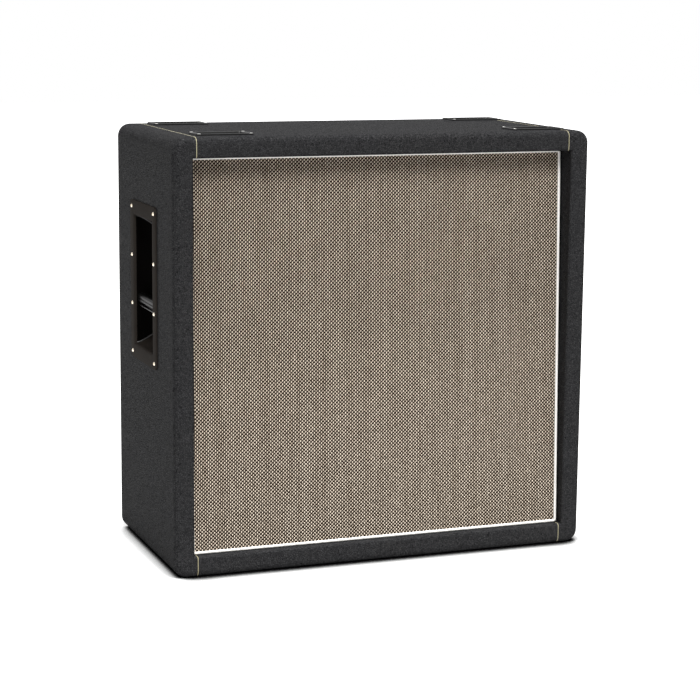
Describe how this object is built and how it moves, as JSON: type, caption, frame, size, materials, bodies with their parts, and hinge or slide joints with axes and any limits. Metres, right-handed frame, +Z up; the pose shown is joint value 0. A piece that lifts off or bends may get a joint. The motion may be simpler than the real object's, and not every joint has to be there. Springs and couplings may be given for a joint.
{
  "type": "guitar speaker cabinet",
  "caption": "Closed-back guitar speaker cabinet with woven grille cloth, white piping, black grained vinyl, recessed side handles and castor cups on the top",
  "frame": {"origin": "on the floor, under the middle of the case", "axes": "+X to the right seen from the front, +Y from the front to the back, +Z up"},
  "size_m": [0.7796, 0.3758, 0.7576],
  "materials": {
    "plywood": "bare sanded plywood",
    "softwood": "planed bare strips",
    "black_vinyl": "pebble-grained vinyl cloth, satin",
    "gold_bead": "thin moulded bead",
    "white_bead": "smooth piping",
    "grille_weave": "plain weave of thick yarn",
    "satin_black_plastic": "smooth moulded, satin",
    "gloss_black_plastic": "smooth moulded, glossy",
    "brass_screw": "polished domed heads",
    "nickel_screw": "polished heads",
    "zinc_steel": "plated",
    "black_steel": "semi-gloss paint on pressed sheet",
    "nickel_jack": "plated and turned",
    "cone_paper": "doped pulp",
    "gasket_board": "pressed board",
    "spider_cloth": "resin-stiffened cloth",
    "coil_wire": "enamelled wire on a thin former",
    "ferrite": "ground ferrite",
    "terminal_board": "laminated strip",
    "lead_sleeve": "insulated stranded lead"
  },
  "bodies": {
    "cabinet": {"back_covering": "black_vinyl", "back_panel": "plywood", "back_panel_screws": "nickel_screw", "baffle_board": "plywood", "baffle_cleats": "softwood", "bottom_covering": "black_vinyl", "bottom_panel": "plywood", "castor_cup_back_left": "gloss_black_plastic", "castor_cup_back_right": "gloss_black_plastic", "castor_cup_front_left": "gloss_black_plastic", "castor_cup_front_right": "gloss_black_plastic", "castor_sockets": "zinc_steel", "centre_brace": "softwood", "cone_edge_1": "cone_paper", "cone_edge_2": "cone_paper", "cone_edge_3": "cone_paper", "cone_edge_4": "cone_paper", "front_battens": "softwood", "grille_cloth": "grille_weave", "grille_piping": "white_bead", "handle_screws": "brass_screw", "jack_nut": "nickel_jack", "jack_plate": "black_steel", "jack_socket": "nickel_jack", "left_covering": "black_vinyl", "left_handle_cup": "satin_black_plastic", "left_handle_grip": "gloss_black_plastic", "left_side_panel": "plywood", "plate_screws": "nickel_screw", "rear_battens": "softwood", "right_covering": "black_vinyl", "right_handle_cup": "satin_black_plastic", "right_handle_grip": "gloss_black_plastic", "right_side_panel": "plywood", "seam_piping": "gold_bead", "speaker_basket_1": "black_steel", "speaker_basket_2": "black_steel", "speaker_basket_3": "black_steel", "speaker_basket_4": "black_steel", "speaker_bolts": "zinc_steel", "speaker_gaskets": "gasket_board", "speaker_magnets": "ferrite", "speaker_terminals": "terminal_board", "speaker_top_plates": "zinc_steel", "speaker_yokes": "zinc_steel", "spider_1": "spider_cloth", "spider_2": "spider_cloth", "spider_3": "spider_cloth", "spider_4": "spider_cloth", "top_covering": "black_vinyl", "top_panel": "plywood", "wiring_harness": "lead_sleeve"},
    "upper_left_cone_body": {"cone_1": "cone_paper", "voice_coil_1": "coil_wire"},
    "upper_right_cone_body": {"cone_2": "cone_paper", "voice_coil_2": "coil_wire"},
    "lower_left_cone_body": {"cone_3": "cone_paper", "voice_coil_3": "coil_wire"},
    "lower_right_cone_body": {"cone_4": "cone_paper", "voice_coil_4": "coil_wire"}
  },
  "joints": [
    {"name": "upper_left_cone_travel", "type": "slide", "parent": "cabinet", "child": "upper_left_cone_body", "axis": [0, -0.9994, 0.0333], "range_m": [-0.0025, 0.0025], "stiffness_N_per_m": 7000, "deforming": ["cone_edge_1", "spider_1"]},
    {"name": "upper_right_cone_travel", "type": "slide", "parent": "cabinet", "child": "upper_right_cone_body", "axis": [0, -0.9994, 0.0333], "range_m": [-0.0025, 0.0025], "stiffness_N_per_m": 7000, "deforming": ["cone_edge_2", "spider_2"]},
    {"name": "lower_left_cone_travel", "type": "slide", "parent": "cabinet", "child": "lower_left_cone_body", "axis": [0, -0.9994, 0.0333], "range_m": [-0.0025, 0.0025], "stiffness_N_per_m": 7000, "deforming": ["cone_edge_3", "spider_3"]},
    {"name": "lower_right_cone_travel", "type": "slide", "parent": "cabinet", "child": "lower_right_cone_body", "axis": [0, -0.9994, 0.0333], "range_m": [-0.0025, 0.0025], "stiffness_N_per_m": 7000, "deforming": ["cone_edge_4", "spider_4"]}
  ]
}
